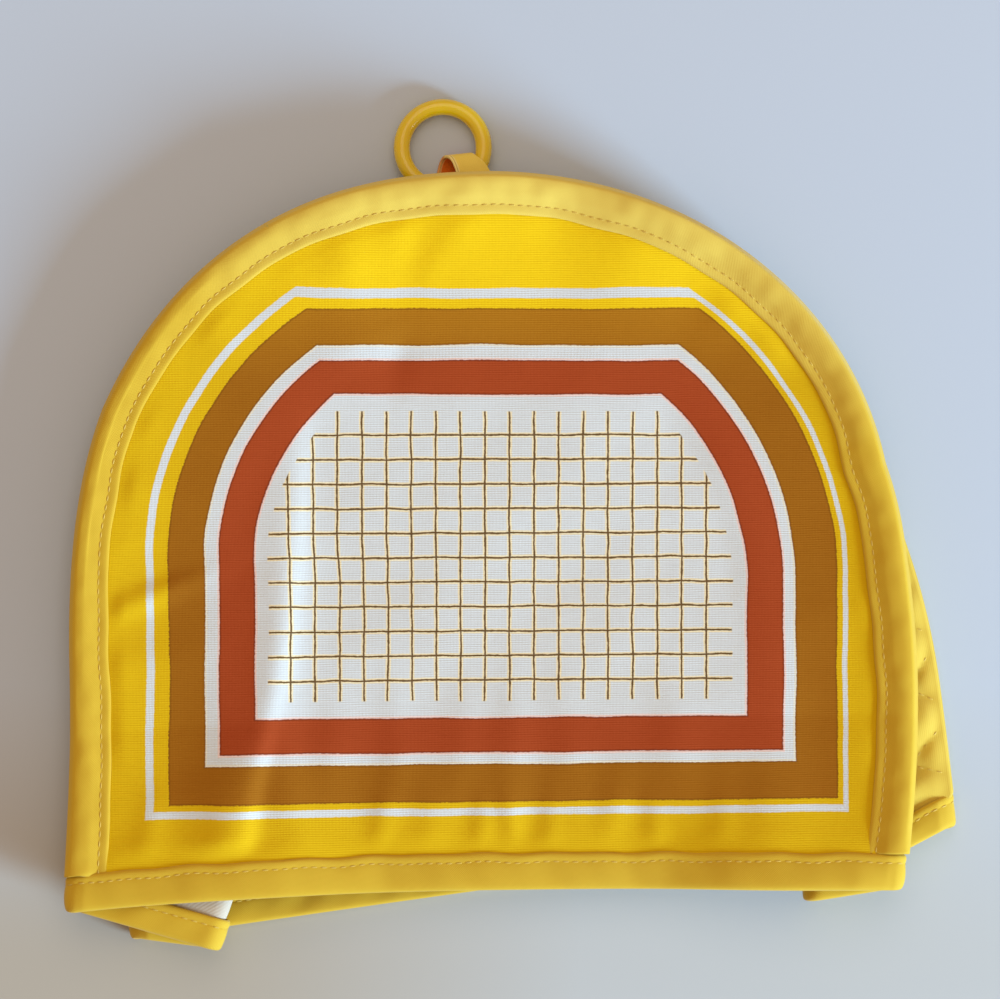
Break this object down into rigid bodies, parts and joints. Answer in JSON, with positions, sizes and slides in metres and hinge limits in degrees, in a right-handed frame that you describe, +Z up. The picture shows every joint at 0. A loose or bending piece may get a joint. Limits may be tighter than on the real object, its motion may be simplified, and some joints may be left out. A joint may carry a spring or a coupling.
{
  "type": "quilted toaster cover, folded flat",
  "caption": "Dome-shaped cloth cover for a toaster, lying collapsed on its back panel, with a bordered front panel, a folded quilted side strip, taped edges and a hanging ring.",
  "frame": {"origin": "centre of the bounding box in plan, on the surface the cover lies on", "axes": "+X to the right along the hem, +Y from the hem towards the hanging ring, +Z up from the back panel to the printed front panel"},
  "size_m": [0.2844, 0.2732, 0.0187],
  "materials": {
    "front_cloth": "matt woven cloth, printed with nested borders and a thin line grid",
    "back_cloth": "matt woven cloth",
    "quilt_cloth": "matt woven cloth, diamond quilted",
    "lining_cloth": "matt ribbed backing",
    "tape": "matt twill tape",
    "tab_tape": "matt tape",
    "ring_plastic": "glossy moulded plastic"
  },
  "bodies": {
    "root": {"front_panel": "front_cloth", "back_panel": "back_cloth", "gusset": "quilt_cloth", "gusset_lining": "lining_cloth", "front_binding": "tape", "back_binding": "tape", "hem_binding": "tape", "hang_tab": "tab_tape", "hang_ring": "ring_plastic"}
  },
  "joints": []
}
